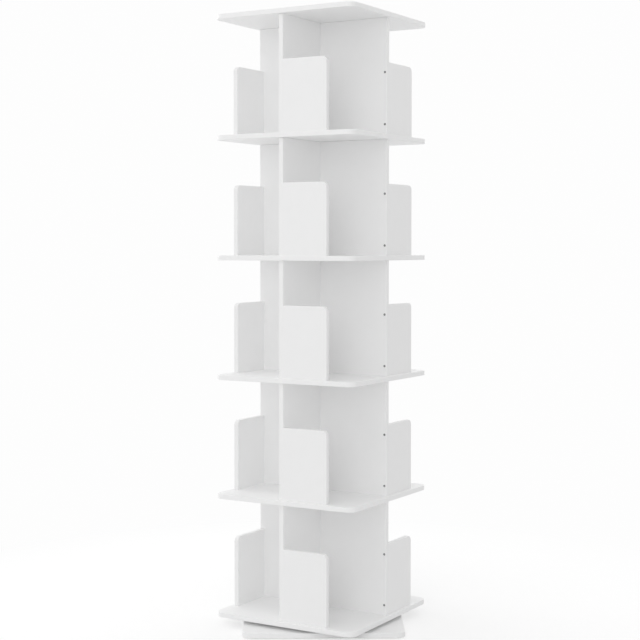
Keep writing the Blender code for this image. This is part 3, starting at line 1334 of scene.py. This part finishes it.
@dataclass(frozen=True)
class Studio:
    """The pale floor, the lamps, the white surroundings and the camera."""

    light_bounces: int = 12
    floor_side: float = 40.0
    floor_tone: float = 0.88
    floor_mottle: float = 0.01
    floor_grain: Pattern = Pattern(3.0, 4.0)
    shadow_share: float = 0.5
    shadow_glow: float = 1.13
    shadow_span: Span = (0.35, 1.3)
    backdrop: float = 0.985
    ambient: float = 0.655
    camera_at: Vector = Vector((1.8467, -3.1273, 0.9590))
    camera_tilt: float = math.radians(90.0 - 1.967)
    camera_azimuth: float = math.radians(30.677)
    sensor: float = 36.0
    lens: float = 79.913
    shift_y: float = -0.04
    lamps: tuple[Lamp, ...] = (
        Lamp("left_lamp", azimuth=math.radians(-90.0), elevation=math.radians(25.0), size=4.0, power=56.0),
        Lamp("high_lamp", azimuth=0.0, elevation=math.radians(55.0), size=4.0, power=24.0),
        Lamp("front_lamp", azimuth=math.radians(20.0), elevation=math.radians(15.0), size=3.0, power=23.0),
        Lamp("back_lamp", azimuth=math.radians(180.0), elevation=math.radians(25.0), size=4.0, power=37.0),
    )

    @staticmethod
    def seen(sheet: ShaderSheet) -> Signal:
        """Marks the rays that show the surroundings: from the camera, or off metal and glass.

        Args:
            sheet: The sheet of the floor or the world.

        Returns:
            1 on those rays, and 0 on the others.
        """
        rays = ("Is Camera Ray", "Is Glossy Ray", "Is Transmission Ray")
        camera, glossy, clear = (sheet.node("ShaderNodeLightPath", result=name) for name in rays)
        return camera | glossy | clear

    def build_floor(self) -> None:
        """Lays the floor: it shows the shadow round the foot, and turns white further off."""
        material = bpy.data.materials.new("pale_floor")
        sheet = ShaderSheet(material)
        tones = (grey(self.floor_tone - self.floor_mottle), grey(self.floor_tone + self.floor_mottle))
        paint = sheet.tint(sheet.cloud(self.floor_grain), *tones)
        lit = sheet.node("ShaderNodeBsdfDiffuse", None, {"Color": paint})
        near = sheet.spread(sheet.length(sheet.place()), self.shadow_span, (1.0, 0.0))
        glow = sheet.tint(near, grey(self.backdrop), grey(self.shadow_glow))
        white = sheet.node("ShaderNodeEmission", None, {"Color": glow, "Strength": 1.0})
        share = self.seen(sheet) * (1.0 - self.shadow_share * near)
        mixed = sheet.node("ShaderNodeMixShader", None, {0: share, 1: lit, 2: white})
        sheet.node("ShaderNodeOutputMaterial", None, {"Surface": mixed})
        blank = Blank()
        bmesh.ops.create_grid(blank.bm, x_segments=2, y_segments=2, size=self.floor_side / 2.0)
        floor = bpy.data.objects.new("studio_floor", blank.mesh())
        floor.data.materials.append(material)
        bpy.context.scene.collection.objects.link(floor)

    def build_world(self) -> None:
        """Surrounds the object with even white."""
        world = bpy.data.worlds.new("white_surroundings")
        sheet = ShaderSheet(world)
        strength = self.ambient + (self.backdrop - self.ambient) * self.seen(sheet)
        light = sheet.node("ShaderNodeBackground", None, {"Color": grey(1.0), "Strength": strength})
        sheet.node("ShaderNodeOutputWorld", None, {"Surface": light})
        bpy.context.scene.world = world

    def build_lamps(self) -> None:
        """Hangs the soft lamps."""
        for lamp in self.lamps:
            lamp.build()

    def build_camera(self) -> None:
        """Sets the camera where the photograph was taken from."""
        data = bpy.data.cameras.new("camera")
        data.sensor_width = self.sensor
        data.lens = self.lens
        data.shift_y = self.shift_y
        camera = bpy.data.objects.new("camera", data)
        camera.location = self.camera_at
        camera.rotation_euler = (self.camera_tilt, 0.0, self.camera_azimuth)
        bpy.context.scene.collection.objects.link(camera)
        bpy.context.scene.camera = camera

    def build(self) -> None:
        """Builds the studio."""
        self.build_floor()
        self.build_world()
        self.build_lamps()
        self.build_camera()
        bpy.context.scene.view_settings.view_transform = "Standard"
        bpy.context.scene.cycles.diffuse_bounces = self.light_bounces


def main() -> None:
    """Builds the bookcase and its studio."""
    logging.basicConfig(level=logging.INFO, format="%(message)s")
    finishes = Finishes()
    pieces = []
    for assembly in (Stand.from_frame(), Turntable.from_frame(), Case.from_frame()):
        pieces.extend(assembly.build(finishes))
    Studio().build()
    log.info("%d pieces", len(pieces))


if __name__ == "__main__":
    main()
